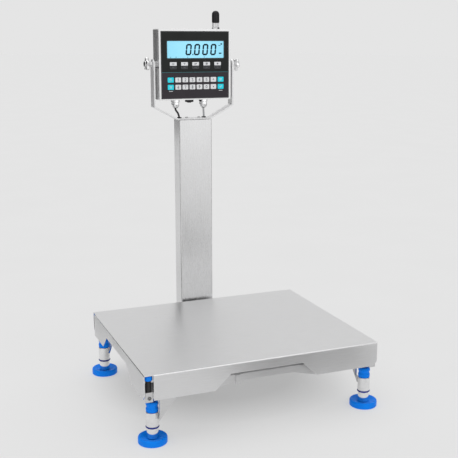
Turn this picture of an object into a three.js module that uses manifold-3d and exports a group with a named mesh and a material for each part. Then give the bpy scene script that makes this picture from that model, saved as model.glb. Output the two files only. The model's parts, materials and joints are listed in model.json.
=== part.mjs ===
// Stainless bench scale: a washdown weighing platform on four levelling feet, with a column behind it
// that carries a tilting indicator in a U-shaped yoke. Millimetres, +Z up, +X to the right of the
// person who stands in front (-Y side) and reads the display. z = 0 is the floor under the foot pads.
import * as THREE from "three";
import { mergeVertices } from "three/addons/utils/BufferGeometryUtils.js";
import Module from "manifold-3d";

const wasm = await Module();
wasm.setup();

// ---- driving dimensions -------------------------------------------------------------------------
const GAP = 0.3; // clearance between pieces that touch

const PLATTER_WIDTH = 600;
const PLATTER_DEPTH = 500;
const PLATTER_TOP = 170;
const SHEET = 2; // thickness of the platter sheet
const SKIRT_LOW = 110; // bottom of the skirts near the corners
const SKIRT_HIGH = 146; // bottom of the skirts in the raised middle
const BEND = 2.5; // outside radius of the folded platter edges
const CORNER_GAP = 22; // each skirt stops this far short of the corner at its left end, seen from outside
const CORNER_RELIEF = 3; // depth of the notch in the top sheet where a skirt stops short
const SKIRT_CHAMFER = 14;
const SLOPE_RUN = 39; // length of the slanted part of a skirt's lower edge
const RAISED_HALF_X = 92;
const RAISED_HALF_Y = 98;

const FOOT_X = 276;
const FOOT_Y = 226;
const PAD_RADIUS = 34;
const SLEEVE_RADIUS = 14.7;
const SLEEVE_BOTTOM = 40.5;
const SLEEVE_TOP = 75;
const COLLAR_TOP = 100;
const THREAD_RADIUS = 8;
const THREAD_TOP = 96;
const STEM_RADIUS = 13.5;

const BUMPER_X = 287.5;
const BUMPER_Y = 237.5;
const BUMPER_RADIUS = 9.7;
const BUMPER_BASE = 129;
const BUMPER_CLEARANCE = 1; // free gap between a bumper's cap and the platter's underside

const RAIL_X = 235;
const RAIL_WIDTH = 30;
const RAIL_LOW = 116;
const RAIL_HIGH = 134;
const APRON = 4; // thickness of the frame's upright plates
const GUSSET_OFFSET = 11; // the corner gussets stand this far from the feet's centre lines
const APRON_OFFSET = 19.6; // and the aprons, just inside the front and back skirts, this far
const LUG_X = 66; // a small lug on each hanger plate, left of the middle as seen from outside
const BEAM_HALF = 35;
const BEAM_LOW = 90;
const BEAM_HIGH = 110;
const BEAM_RISE = 150; // beyond this the beam slants up to the cross members
const BEAM_END = 206;

const CELL_LENGTH = 150;
const CELL_WIDTH = 40;
const CELL_LOW = 114;
const CELL_HIGH = 144;
const SPIDER_LOW = 148;

const CENTRE_X = 10.6; // the column and the indicator share this centre line
const COLUMN_WIDTH = 95;
const COLUMN_DEPTH = 50;
const COLUMN_FRONT = 264;
const COLUMN_TOP = 683;
const COLUMN_BOTTOM = 50;
const COLUMN_WALL = 2.5;
const COLUMN_MID = COLUMN_FRONT + COLUMN_DEPTH / 2;
const ENTRY_LEFT = -40; // the cable entries in the column's top, from its centre line
const ENTRY_RIGHT = 32.5;
const ENTRY_RADIUS = 5;

const HEAD_WIDTH = 207;
const HEAD_HEIGHT = 189.5;
const HEAD_DEPTH = 50;
const HEAD_BOTTOM = 738;
const HEAD_CORNER = 3;
const HEAD_WALL = 2;
const SPLIT_DEPTH = 14; // the front frame takes this much of the housing's depth
const HEAD_FRONT = COLUMN_MID - HEAD_DEPTH / 2;
const PIVOT_Z = 833;

const PANEL_WIDTH = 195;
const PANEL_LOW = 742;
const PANEL_HIGH = 921;
const PANEL_THICK = 4;
const PANEL_PROUD = 0.6;
const POCKET = 2.6; // depth of the key and display pockets in the panel
const KEY_THICK = 1.7;
const KEY_GAP = 0.35;
const KEY_TRAVEL = 0.5;
const DISPLAY = { x: 1.2, z: 872.8, width: 162, height: 45 };
const FUNCTION_KEYS = { count: 5, z: 830.5, pitch: 32, width: 20, height: 19, middle: 0.6 };
const KEY_ROWS = [
  { name: "upper", z: 792.4 },
  { name: "lower", z: 773 },
];
const NUMBER_KEYS = { count: 6, pitch: 20.4, width: 16.6, height: 13.2, middle: 1.2 };
const END_KEYS = { offset: 72.3, width: 17.4, height: 13.6 };

const YOKE_STRIP = 4;
const YOKE_WIDTH = 30;
const ARM_IN = 111.5; // inner face of a yoke arm from the centre line
const ARM_BEND_Z = 721;
const ARM_TOP = PIVOT_Z + YOKE_WIDTH / 2 + 5; // the strip's length before its ends are rounded
const YOKE_BASE_HALF = 47;

const KNOB_RADIUS = 18.5;
const KNOB_HUB = 7.5; // length of the knob's neck, from the arm to the lobes
const KNOB_THICK = 11;
const KNOB_CAP = 4;
const KNOB_LOBES = 5;
const LOBE_DEPTH = 3.2;
const STUD_RADIUS = 4;
const STUD_REACH = 10; // length of a pivot stud beyond the arm's outer face
const BOSS_RADIUS = 10;

const GLAND_RADIUS = 13;
const GLAND_LENGTH = 23;
const GLAND_LEFT = -50;
const GLAND_RIGHT = 31.5;
const PLUG_X = -10;
const CABLE_RADIUS = 2.6;
const ANTENNA_X = 69;

const INLET_Z = 112;
const INLET_LENGTH = 22;

// the frame's origin is the middle of the footprint's bounding box
const FRONT_LIMIT = -(FOOT_Y + PAD_RADIUS);
const BACK_LIMIT = COLUMN_FRONT + COLUMN_DEPTH + GAP + INLET_LENGTH;
const ORIGIN_Y = (FRONT_LIMIT + BACK_LIMIT) / 2;

// ---- materials ----------------------------------------------------------------------------------
const finish = (color, roughness, metalness) => ({ color, roughness, metalness });
const BRUSHED = finish(0xc4c6c7, 0.35, 1);
const POLISHED = finish(0xe2e4e5, 0.15, 1);
const ALUMINIUM = finish(0xb8babc, 0.4, 1);
const BLUE = finish(0x0470dc, 0.45, 0);
const BLACK = finish(0x18181b, 0.5, 0);
const PANEL_BLACK = finish(0x2b2a2d, 0.4, 0);
const LCD_CYAN = finish(0xa5ebfa, 0.2, 0);
const KEY_WHITE = finish(0xe9edf0, 0.45, 0);
const KEY_BLUE = finish(0x1f8fd8, 0.45, 0);
const BOARD_GREEN = finish(0x1c5a34, 0.6, 0);
const CABLE_GREY = finish(0xb9bcbe, 0.6, 0);

// ---- shape helpers ------------------------------------------------------------------------------
// A closed geometry as a manifold-3d solid, turned outwards if its outline ran the other way round.
function solid(geometry) {
  const bare = new THREE.BufferGeometry();
  const source = geometry.index ? geometry.toNonIndexed() : geometry;
  bare.setAttribute("position", source.getAttribute("position"));
  const merged = mergeVertices(bare, 1e-4);
  const corners = merged.index.array;
  const kept = [];
  for (let i = 0; i < corners.length; i += 3) {
    const [a, b, c] = [corners[i], corners[i + 1], corners[i + 2]];
    if (a !== b && b !== c && a !== c) kept.push(a, b, c);
  }
  const build = (triangles) => new wasm.Manifold(new wasm.Mesh({
    numProp: 3,
    vertProperties: Float32Array.from(merged.attributes.position.array),
    triVerts: Uint32Array.from(triangles),
  }));
  const made = build(kept);
  return made.volume() < 0 ? build(kept.toReversed()) : made;
}

function geometryOf(made) {
  const mesh = made.getMesh();
  const geometry = new THREE.BufferGeometry();
  geometry.setAttribute("position", new THREE.BufferAttribute(mesh.vertProperties, 3));
  geometry.setIndex(new THREE.BufferAttribute(mesh.triVerts, 1));
  geometry.computeVertexNormals();
  return geometry;
}

const union = (solids) => solids.reduce((joined, next) => joined.add(next));
const cutAll = (body, tools) => tools.reduce((left, tool) => left.subtract(tool), body);

function block([x0, x1], [y0, y1], [z0, z1]) {
  const box = new THREE.BoxGeometry(x1 - x0, y1 - y0, z1 - z0);
  return solid(box.translate((x0 + x1) / 2, (y0 + y1) / 2, (z0 + z1) / 2));
}

const shapeOf = (points) => new THREE.Shape(points.map(([a, b]) => new THREE.Vector2(a, b)));

// Prisms: an outline in the plane across an axis, carried along that axis from one place to another.
function prismX(shape, x0, x1, options = {}) {
  const geometry = new THREE.ExtrudeGeometry(shape, { depth: x1 - x0, bevelEnabled: false, ...options });
  const turn = new THREE.Matrix4().makeBasis(
    new THREE.Vector3(0, 1, 0), new THREE.Vector3(0, 0, 1), new THREE.Vector3(1, 0, 0));
  return solid(geometry.applyMatrix4(turn).translate(x0, 0, 0));
}

function prismY(shape, y0, y1, options = {}) {
  const geometry = new THREE.ExtrudeGeometry(shape, { depth: y1 - y0, bevelEnabled: false, ...options });
  return solid(geometry.rotateX(Math.PI / 2).translate(0, y1, 0));
}

function prismZ(shape, z0, z1, options = {}) {
  const geometry = new THREE.ExtrudeGeometry(shape, { depth: z1 - z0, bevelEnabled: false, ...options });
  return solid(geometry.translate(0, 0, z0));
}

function roundedRectangle(x0, x1, y0, y1, radius) {
  const shape = new THREE.Shape();
  shape.moveTo(x0 + radius, y0);
  shape.lineTo(x1 - radius, y0);
  shape.absarc(x1 - radius, y0 + radius, radius, -Math.PI / 2, 0);
  shape.lineTo(x1, y1 - radius);
  shape.absarc(x1 - radius, y1 - radius, radius, 0, Math.PI / 2);
  shape.lineTo(x0 + radius, y1);
  shape.absarc(x0 + radius, y1 - radius, radius, Math.PI / 2, Math.PI);
  shape.lineTo(x0, y0 + radius);
  shape.absarc(x0 + radius, y0 + radius, radius, Math.PI, 1.5 * Math.PI);
  return shape;
}

// A turned piece: (radius, height) points, closed on themselves, turned about the Z axis.
function turned(profile, segments = 16) {
  const points = [...profile, profile[0]].map(([r, h]) => new THREE.Vector2(r, h));
  return solid(new THREE.LatheGeometry(points, segments).rotateX(Math.PI / 2));
}

// The same, laid along another axis, with height 0 at the given place.
const ALONG = {
  x: (made, [x, y, z]) => made.rotate([0, 90, 0]).translate([x, y, z]),
  minusX: (made, [x, y, z]) => made.rotate([0, -90, 0]).translate([x, y, z]),
  y: (made, [x, y, z]) => made.rotate([-90, 0, 0]).translate([x, y, z]),
  minusZ: (made, [x, y, z]) => made.rotate([180, 0, 0]).translate([x, y, z]),
};

const rod = (radius, length, segments = 16) =>
  turned([[0, 0], [radius, 0], [radius, length], [0, length]], segments);

function cableAlong(points, radius, sides = 8) {
  const path = new THREE.CatmullRomCurve3(points.map((p) => new THREE.Vector3(...p)), false, "centripetal");
  const ring = Array.from({ length: sides }, (_, i) => {
    const angle = (2 * Math.PI * i) / sides;
    return new THREE.Vector2(radius * Math.cos(angle), radius * Math.sin(angle));
  });
  const steps = Math.round(path.getLength() / (6 * radius));
  const options = { steps, extrudePath: path, bevelEnabled: false };
  return solid(new THREE.ExtrudeGeometry(new THREE.Shape(ring), options));
}

// ---- the scene graph ----------------------------------------------------------------------------
const scale = new THREE.Group();
scale.position.y = -ORIGIN_Y;

function place(name, made, { color, roughness, metalness }, parent = scale) {
  const material = new THREE.MeshStandardMaterial({ color, roughness, metalness });
  const mesh = new THREE.Mesh(geometryOf(made), material);
  mesh.name = name;
  parent.add(mesh);
}

const CORNERS = [
  { at: "front_left", sx: -1, sy: -1 },
  { at: "front_right", sx: 1, sy: -1 },
  { at: "rear_left", sx: -1, sy: 1 },
  { at: "rear_right", sx: 1, sy: 1 },
];

// ---- platter: a five-sided stainless cover with folded skirts ----------------------------------
function platter() {
  const halfX = PLATTER_WIDTH / 2;
  const halfY = PLATTER_DEPTH / 2;
  const outline = shapeOf([
    [-halfX + BEND, -halfY + BEND], [halfX - BEND, -halfY + BEND],
    [halfX - BEND, halfY - BEND], [-halfX + BEND, halfY - BEND],
  ]);
  const rounded = { bevelEnabled: true, bevelSize: BEND, bevelThickness: BEND, bevelSegments: 3 };
  const tall = prismZ(outline, SKIRT_LOW - 10, PLATTER_TOP - BEND, rounded);
  const trimmed = tall.subtract(block([-halfX - 1, halfX + 1], [-halfY - 1, halfY + 1], [0, SKIRT_LOW]));
  const inside = block(
    [-halfX + SHEET, halfX - SHEET], [-halfY + SHEET, halfY - SHEET], [0, PLATTER_TOP - SHEET]);
  const raisedEdge = (half) => shapeOf([
    [-half - SLOPE_RUN - 1, SKIRT_LOW - 1], [-half, SKIRT_HIGH],
    [half, SKIRT_HIGH], [half + SLOPE_RUN + 1, SKIRT_LOW - 1],
  ]);
  const frontAndBack = prismY(raisedEdge(RAISED_HALF_X), -halfY - 5, halfY + 5);
  const sides = prismX(raisedEdge(RAISED_HALF_Y), -halfX - 5, halfX + 5);
  const gapEnd = (half) => shapeOf([
    [half - CORNER_GAP, PLATTER_TOP - SHEET], [half + 5, PLATTER_TOP - SHEET], [half + 5, SKIRT_LOW - 5],
    [half - CORNER_GAP, SKIRT_LOW - 5],
  ]);
  const chamferedEnd = (half) => shapeOf([
    [-half - 1, SKIRT_LOW + SKIRT_CHAMFER + 1], [-half + SKIRT_CHAMFER + 1, SKIRT_LOW - 1],
    [-half - 1, SKIRT_LOW - 1],
  ]);
  // One skirt's end cuts, made for the back skirt and turned to each of the others.
  const endCuts = (half, face, turn) => {
    const across = [face - SHEET, face + 5];
    const relief = block(
      [half - CORNER_GAP, half + 1], [face - CORNER_RELIEF, face + 1], [SKIRT_LOW, PLATTER_TOP + 1]);
    return [prismY(gapEnd(half), ...across), prismY(chamferedEnd(half), ...across), relief]
      .map((cut) => cut.rotate([0, 0, turn]));
  };
  const ends = [
    ...endCuts(halfX, halfY, 0), ...endCuts(halfX, halfY, 180),
    ...endCuts(halfY, halfX, 90), ...endCuts(halfY, halfX, -90),
  ];
  return cutAll(trimmed, [inside, frontAndBack, sides, ...ends]);
}
place("platter", platter(), BRUSHED);

// ---- spider: the welded frame that carries the platter on the load cell ------------------------
function spider() {
  const top = PLATTER_TOP - SHEET - GAP;
  const low = SPIDER_LOW;
  const barAcross = (y) => block([-250, 250], [y - 12, y + 12], [low, top]);
  const mount = block([-30, 30], [-CELL_LENGTH / 2, -20], [CELL_HIGH + GAP, low + 1]);
  const spine = block([-30, 30], [-192, 192], [low, top]);
  return union([barAcross(-180), barAcross(180), spine, mount]);
}
place("spider", spider(), BRUSHED);

// ---- load cell: a single-point cell with the usual double bore through its waist ---------------
function loadCell() {
  const half = CELL_WIDTH / 2;
  const body = block([-half, half], [-CELL_LENGTH / 2, CELL_LENGTH / 2], [CELL_LOW, CELL_HIGH]);
  const middle = (CELL_LOW + CELL_HIGH) / 2;
  const bore = (y) => ALONG.x(rod(9, CELL_WIDTH + 2), [-half - 1, y, middle]);
  const slot = block([-half - 1, half + 1], [-14, 14], [middle - 2, middle + 2]);
  return cutAll(body, [bore(-14), bore(14), slot]);
}
place("load_cell", loadCell(), ALUMINIUM);

// ---- base frame: rails, cross members, corner gussets and the threaded foot sleeves -----------
function cornerOf({ sx, sy }) {
  const x = sx * FOOT_X;
  const y = sy * FOOT_Y;
  const sleeve = turned([
    [THREAD_RADIUS + GAP, 0], [SLEEVE_RADIUS, 0],
    [SLEEVE_RADIUS, SLEEVE_TOP - SLEEVE_BOTTOM], [THREAD_RADIUS + GAP, SLEEVE_TOP - SLEEVE_BOTTOM],
  ], 20).translate([x, y, SLEEVE_BOTTOM]);
  // a gusset beside the sleeve, notched round the collar: distances are from the foot's centre line
  const gussetShape = (centre, side) => shapeOf([
    [11, 58], [11, SLEEVE_TOP - 1], [20, SLEEVE_TOP - 1], [20, RAIL_HIGH], [61, RAIL_HIGH], [61, 112],
  ].map(([inwards, z]) => [side * (centre - inwards), z]));
  const alongX = sx * sy > 0;
  const gussetAt = alongX ? sy * (FOOT_Y + GUSSET_OFFSET) : sx * (FOOT_X - GUSSET_OFFSET);
  const gusset = alongX
    ? prismY(gussetShape(FOOT_X, sx), gussetAt - APRON / 2, gussetAt + APRON / 2)
    : prismX(gussetShape(FOOT_Y, sy), gussetAt - APRON / 2, gussetAt + APRON / 2);
  const apronY = sy * (FOOT_Y + APRON_OFFSET);
  const apron = prismY(shapeOf([
    [sx * (FOOT_X - 11), RAIL_HIGH], [sx * (FOOT_X - 11), 58], [sx * 225, 112], [sx * 205, 112],
    [sx * 205, RAIL_HIGH],
  ]), apronY - APRON / 2, apronY + APRON / 2);
  const reach = [sx * 225, sx * (BUMPER_X + 7)].sort((a, b) => a - b);
  const depth = [sy * (FOOT_Y - 36), sy * (BUMPER_Y + 7)].sort((a, b) => a - b);
  const shelf = block(reach, depth, [BUMPER_BASE - GAP - 3, BUMPER_BASE - GAP]);
  const lip = [sy * (BUMPER_Y + 4), sy * (BUMPER_Y + 7)].sort((a, b) => a - b);
  const tab = [sx * (BUMPER_X - 9), sx * (BUMPER_X + 8)].sort((a, b) => a - b);
  const bracket = block(tab, lip, [105, BUMPER_BASE - 1]);
  const plates = alongX ? [gusset, apron] : [gusset];
  return union([sleeve, ...plates, shelf, bracket]);
}

function baseFrame() {
  const rail = (side) => {
    const x = side * RAIL_X;
    return block([x - RAIL_WIDTH / 2, x + RAIL_WIDTH / 2], [-FOOT_Y, FOOT_Y], [RAIL_LOW, RAIL_HIGH]);
  };
  const member = (side) => {
    const y = side * (FOOT_Y - 14);
    return block([-RAIL_X, RAIL_X], [y - 14, y + 14], [RAIL_LOW, RAIL_HIGH]);
  };
  const hanger = (side) => prismY(shapeOf([
    [-150, RAIL_HIGH - 1], [-150, 100], [-120, 106], [-75, 117.5],
    [75, 117.5], [120, 106], [150, 100], [150, RAIL_HIGH - 1],
  ]), side * FOOT_Y - APRON / 2, side * FOOT_Y + APRON / 2);
  const lug = (side) => {
    const [x, y] = [side * LUG_X, side * (FOOT_Y + 3)];
    return block([x - 6, x + 6], [y - 2, y + 2], [RAIL_LOW - 5.5, RAIL_HIGH - 2]);
  };
  const beam = prismX(shapeOf([
    [-BEAM_END, RAIL_LOW + 2], [-BEAM_RISE, BEAM_LOW], [BEAM_RISE, BEAM_LOW], [BEAM_END, RAIL_LOW + 2],
    [BEAM_END, RAIL_HIGH - 4], [BEAM_RISE, BEAM_HIGH], [-BEAM_RISE, BEAM_HIGH], [-BEAM_END, RAIL_HIGH - 4],
  ]), -BEAM_HALF, BEAM_HALF);
  const cellSeat = block([-30, 30], [20, CELL_LENGTH / 2], [BEAM_HIGH - 1, CELL_LOW - GAP]);
  const corners = CORNERS.map(cornerOf);
  return union([
    rail(-1), rail(1), member(-1), member(1), hanger(-1), hanger(1), lug(-1), lug(1), beam, cellSeat,
    ...corners,
  ]);
}
place("base_frame", baseFrame(), BRUSHED);

// ---- corner pieces: overload bumper, collar, spindle and pad -----------------------------------
const bumper = () => {
  const capTop = PLATTER_TOP - SHEET - BUMPER_CLEARANCE - BUMPER_BASE;
  return turned([
    [0, 0], [6.5, 0], [6.5, capTop - 12], [BUMPER_RADIUS, capTop - 11], [BUMPER_RADIUS, capTop - 2],
    [BUMPER_RADIUS - 2, capTop], [0, capTop],
  ]);
};

const collar = () => {
  const height = COLLAR_TOP - SLEEVE_TOP - GAP;
  return turned([
    [THREAD_RADIUS + GAP, 0], [13.6, 0], [14.4, 3], [14.4, 9], [12.8, 12], [12.8, 15],
    [14.4, 18], [14.4, height - 3], [12, height], [THREAD_RADIUS + GAP, height],
  ]);
};

const spindle = () => turned([
  [0, 9], [9, 9], [9, 11.8], [STEM_RADIUS, 13.4], [STEM_RADIUS, SLEEVE_BOTTOM - 5],
  [STEM_RADIUS - 2, SLEEVE_BOTTOM - 3], [THREAD_RADIUS, SLEEVE_BOTTOM - 3],
  [THREAD_RADIUS, THREAD_TOP - 2], [THREAD_RADIUS - 2, THREAD_TOP], [0, THREAD_TOP],
]);

const pad = () => turned([
  [0, 0], [PAD_RADIUS - 0.8, 0], [PAD_RADIUS, 1.2], [PAD_RADIUS, 13], [PAD_RADIUS - 2, 15.5],
  [PAD_RADIUS - 5, 15.5], [18, 12], [9.6, 11.2], [9.6, 8.4], [0, 8.4],
], 24);

for (const { at, sx, sy } of CORNERS) {
  const foot = new THREE.Group();
  foot.position.set(sx * FOOT_X, sy * FOOT_Y, 0);
  scale.add(foot);
  place(`foot_pad_${at}`, pad(), BLUE, foot);
  place(`foot_spindle_${at}`, spindle(), POLISHED, foot);
  place(`foot_collar_${at}`, collar().translate([0, 0, SLEEVE_TOP + GAP]), BLUE, foot);
  const stop = bumper().translate([sx * BUMPER_X, sy * BUMPER_Y, BUMPER_BASE]);
  place(`bumper_${at}`, stop, BLUE);
}

// ---- column and its foot bracket ----------------------------------------------------------------
const columnGroup = new THREE.Group();
columnGroup.position.set(CENTRE_X, COLUMN_MID, 0);
scale.add(columnGroup);

function column() {
  const halfX = COLUMN_WIDTH / 2;
  const halfY = COLUMN_DEPTH / 2;
  const tube = prismZ(roundedRectangle(-halfX, halfX, -halfY, halfY, 3), COLUMN_BOTTOM, COLUMN_TOP,
    { curveSegments: 3 });
  const hollow = block([-halfX + COLUMN_WALL, halfX - COLUMN_WALL],
    [-halfY + COLUMN_WALL, halfY - COLUMN_WALL], [COLUMN_BOTTOM - 1, COLUMN_TOP - COLUMN_WALL]);
  const entries = [ENTRY_LEFT, ENTRY_RIGHT].map((x) =>
    rod(ENTRY_RADIUS, 10).translate([x, 0, COLUMN_TOP - 6]));
  const passage = block([-12, 12], [-halfY - 1, -halfY + 5], [RAIL_LOW + 2, RAIL_HIGH - 4]);
  const inletHole = ALONG.y(rod(6, 10), [0, halfY - 6, INLET_Z]);
  return cutAll(tube, [hollow, ...entries, passage, inletHole]);
}
place("column", column(), BRUSHED, columnGroup);

// A welded box that runs from the frame's rear member to the plate that the column is bolted to.
function columnBracket() {
  const back = -COLUMN_DEPTH / 2 - GAP;
  const rearMember = FOOT_Y + APRON / 2 + GAP - COLUMN_MID;
  const plate = block([-COLUMN_WIDTH / 2, COLUMN_WIDTH / 2], [back - 6, back], [60, RAIL_HIGH + 22]);
  const arm = block([-40, 40], [rearMember, back - 5], [98, RAIL_HIGH]);
  const passage = block([-12, 12], [rearMember - 1, back + 1], [RAIL_LOW + 2, RAIL_HIGH - 4]);
  return plate.add(arm).subtract(passage);
}
place("column_bracket", columnBracket(), BRUSHED, columnGroup);

const powerInlet = ALONG.y(turned([
  [3.4, 0], [12, 0], [12, 5], [10, 7], [10, 15], [8, INLET_LENGTH], [3.4, INLET_LENGTH],
], 12), [0, COLUMN_DEPTH / 2 + GAP, INLET_Z]);
place("power_inlet", powerInlet, BLACK, columnGroup);

// ---- yoke: a bent flat strip with round-ended arms ----------------------------------------------
function yoke() {
  const armOut = ARM_IN + YOKE_STRIP;
  const low = COLUMN_TOP + GAP;
  const strip = prismY(shapeOf([
    [-armOut, ARM_TOP], [-ARM_IN, ARM_TOP], [-ARM_IN, ARM_BEND_Z + 1],
    [-YOKE_BASE_HALF, low + YOKE_STRIP], [YOKE_BASE_HALF, low + YOKE_STRIP],
    [ARM_IN, ARM_BEND_Z + 1], [ARM_IN, ARM_TOP], [armOut, ARM_TOP],
    [armOut, ARM_BEND_Z - 2], [YOKE_BASE_HALF + 2, low], [-YOKE_BASE_HALF - 2, low],
    [-armOut, ARM_BEND_Z - 2],
  ]), -YOKE_WIDTH / 2, YOKE_WIDTH / 2);
  const side = new THREE.Shape();
  side.moveTo(-YOKE_WIDTH / 2, low - 1);
  side.lineTo(YOKE_WIDTH / 2, low - 1);
  side.lineTo(YOKE_WIDTH / 2, PIVOT_Z);
  side.absarc(0, PIVOT_Z, YOKE_WIDTH / 2, 0, Math.PI);
  const rounded = strip.intersect(prismX(side, -armOut - 1, armOut + 1, { curveSegments: 8 }));
  const pivots = ALONG.x(rod(STUD_RADIUS + 0.4, 2 * armOut + 2), [-armOut - 1, 0, PIVOT_Z]);
  const entries = [ENTRY_LEFT, ENTRY_RIGHT].map((x) => rod(ENTRY_RADIUS, 10).translate([x, 0, low - 2]));
  return cutAll(rounded, [pivots, ...entries]);
}
place("yoke", yoke(), BRUSHED, columnGroup);

// ---- indicator ----------------------------------------------------------------------------------
const head = new THREE.Group();
head.position.set(CENTRE_X, HEAD_FRONT, 0);
scale.add(head);

const HEAD_TOP = HEAD_BOTTOM + HEAD_HEIGHT;
const HEAD_HALF = HEAD_WIDTH / 2;
const headOutline = () => roundedRectangle(-HEAD_HALF, HEAD_HALF, HEAD_BOTTOM, HEAD_TOP, HEAD_CORNER);
const headInside = (y0, y1) => block(
  [-HEAD_HALF + HEAD_WALL, HEAD_HALF - HEAD_WALL], [y0, y1], [HEAD_BOTTOM + HEAD_WALL, HEAD_TOP - HEAD_WALL]);

// Front frame: a stainless surround with a window for the panel, open at its back.
function frontFrame() {
  const body = prismY(headOutline(), 0, SPLIT_DEPTH, { curveSegments: 4 });
  const half = PANEL_WIDTH / 2 + GAP;
  const window = block([-half, half], [-1, PANEL_THICK], [PANEL_LOW - GAP, PANEL_HIGH + GAP]);
  const ledge = block([-half + 3, half - 3], [0, SPLIT_DEPTH + 1], [PANEL_LOW + 3, PANEL_HIGH - 3]);
  return cutAll(body, [headInside(PANEL_THICK + 2, SPLIT_DEPTH + 1), window, ledge]);
}
place("indicator_front_frame", frontFrame(), BRUSHED, head);

// Rear shell: a deep tray with bosses on its sides for the pivot studs.
function rearShell() {
  const start = SPLIT_DEPTH + GAP;
  const body = prismY(headOutline(), start, HEAD_DEPTH, { curveSegments: 4 });
  const middle = HEAD_DEPTH / 2;
  const hollow = headInside(start - 1, HEAD_DEPTH - HEAD_WALL);
  const root = HEAD_HALF - HEAD_WALL / 2;
  const stud = rod(STUD_RADIUS, ARM_IN + YOKE_STRIP + STUD_REACH - root);
  const pivot = stud.add(rod(BOSS_RADIUS, ARM_IN - GAP - root));
  const pivots = [
    ALONG.x(pivot, [root, middle, PIVOT_Z]),
    ALONG.minusX(pivot, [-root, middle, PIVOT_Z]),
  ];
  return union([body.subtract(hollow), ...pivots]);
}
place("indicator_rear_shell", rearShell(), BRUSHED, head);

// Every key, from its centre, size and colour.
const keys = [];
for (let i = 0; i < FUNCTION_KEYS.count; i += 1) {
  const { z, pitch, width, height, middle, count } = FUNCTION_KEYS;
  const x = middle + (i - (count - 1) / 2) * pitch;
  keys.push({ name: `function_key_${i + 1}`, x, z, width, height, look: KEY_WHITE });
}
for (const { name: row, z } of KEY_ROWS) {
  const { pitch, width, height, middle, count } = NUMBER_KEYS;
  for (let i = 0; i < count; i += 1) {
    const x = middle + (i - (count - 1) / 2) * pitch;
    keys.push({ name: `${row}_key_${i + 1}`, x, z, width, height, look: KEY_WHITE });
  }
  for (const [end, side] of [["left", -1], ["right", 1]]) {
    const x = middle + side * END_KEYS.offset;
    const size = { width: END_KEYS.width, height: END_KEYS.height };
    keys.push({ name: `${row}_${end}_blue_key`, x, z, ...size, look: KEY_BLUE });
  }
}

const keyShape = ({ x, z, width, height }, grow) => roundedRectangle(
  x - width / 2 - grow, x + width / 2 + grow, z - height / 2 - grow, z + height / 2 + grow, 1.6 + grow);

// Panel: the black membrane face with a shallow pocket for the display and for every key.
function panel() {
  const half = PANEL_WIDTH / 2;
  const plate = prismY(roundedRectangle(-half, half, PANEL_LOW, PANEL_HIGH, 2),
    -PANEL_PROUD, PANEL_THICK - GAP, { curveSegments: 3 });
  const pockets = [DISPLAY, ...keys].map((piece) =>
    prismY(keyShape(piece, KEY_GAP), -PANEL_PROUD - 1, POCKET - PANEL_PROUD, { curveSegments: 1 }));
  return cutAll(plate, pockets);
}
place("keypad_panel", panel(), PANEL_BLACK, head);
const displayBlock = prismY(keyShape(DISPLAY, 0), -PANEL_PROUD + GAP, POCKET - PANEL_PROUD - GAP,
  { curveSegments: 1 });
place("lcd_display", displayBlock, LCD_CYAN, head);

for (const key of keys) {
  const front = POCKET - PANEL_PROUD - GAP - KEY_TRAVEL - KEY_THICK;
  place(key.name, prismY(keyShape(key, 0), front, front + KEY_THICK, { curveSegments: 1 }), key.look, head);
}

const board = block([-75, 75], [20, 21.6], [HEAD_BOTTOM + 25, HEAD_TOP - 30]);
const chip = block([-12, 12], [21.5, 25], [830, 850]);
place("circuit_board", board.add(chip), BOARD_GREEN, head);

// ---- glands, vent plug and antenna --------------------------------------------------------------
const underside = (x) => [x, HEAD_DEPTH / 2, HEAD_BOTTOM - GAP];
const gland = () => {
  const bore = CABLE_RADIUS + 2 * GAP;
  return turned([
    [bore, 0], [GLAND_RADIUS, 0], [GLAND_RADIUS, 6], [GLAND_RADIUS - 1.5, 7], [GLAND_RADIUS - 1.5, 14],
    [GLAND_RADIUS - 4, GLAND_LENGTH], [bore, GLAND_LENGTH],
  ], 12);
};
place("cable_gland_left", ALONG.minusZ(gland(), underside(GLAND_LEFT)), POLISHED, head);
place("cable_gland_right", ALONG.minusZ(gland(), underside(GLAND_RIGHT)), POLISHED, head);
const ventPlug = turned([[0, 0], [12, 0], [12, 6], [9, 9], [0, 9]], 12);
place("vent_plug", ALONG.minusZ(ventPlug, underside(PLUG_X)), BLACK, head);

const antenna = turned([
  [0, 0], [11, 0], [11, 4], [9.5, 5], [9.5, 17], [10.5, 18], [10.5, 40], [8, 46], [4, 48.5], [0, 49],
]);
place("antenna", antenna.translate([ANTENNA_X, HEAD_DEPTH / 2, HEAD_TOP + GAP]), BLACK, head);

// ---- clamping knobs -----------------------------------------------------------------------------
function knob() {
  const outline = Array.from({ length: KNOB_LOBES * 6 }, (_, i) => {
    const angle = (2 * Math.PI * i) / (KNOB_LOBES * 6);
    const radius = KNOB_RADIUS - LOBE_DEPTH * (1 - Math.cos(KNOB_LOBES * angle));
    return [radius * Math.cos(angle), radius * Math.sin(angle)];
  });
  const lobes = prismZ(shapeOf(outline), KNOB_HUB, KNOB_HUB + KNOB_THICK);
  const core = turned([
    [0, 0], [7, 0], [7, KNOB_HUB + KNOB_THICK], [6, KNOB_HUB + KNOB_THICK + KNOB_CAP],
    [0, KNOB_HUB + KNOB_THICK + KNOB_CAP],
  ]);
  const socket = rod(STUD_RADIUS + GAP, STUD_REACH + 1).translate([0, 0, -1]);
  return lobes.add(core).subtract(socket);
}
const knobAt = ARM_IN + YOKE_STRIP + GAP;
place("knob_right", ALONG.x(knob(), [knobAt, HEAD_DEPTH / 2, PIVOT_Z]), POLISHED, head);
place("knob_left", ALONG.minusX(knob(), [-knobAt, HEAD_DEPTH / 2, PIVOT_Z]), POLISHED, head);

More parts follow.
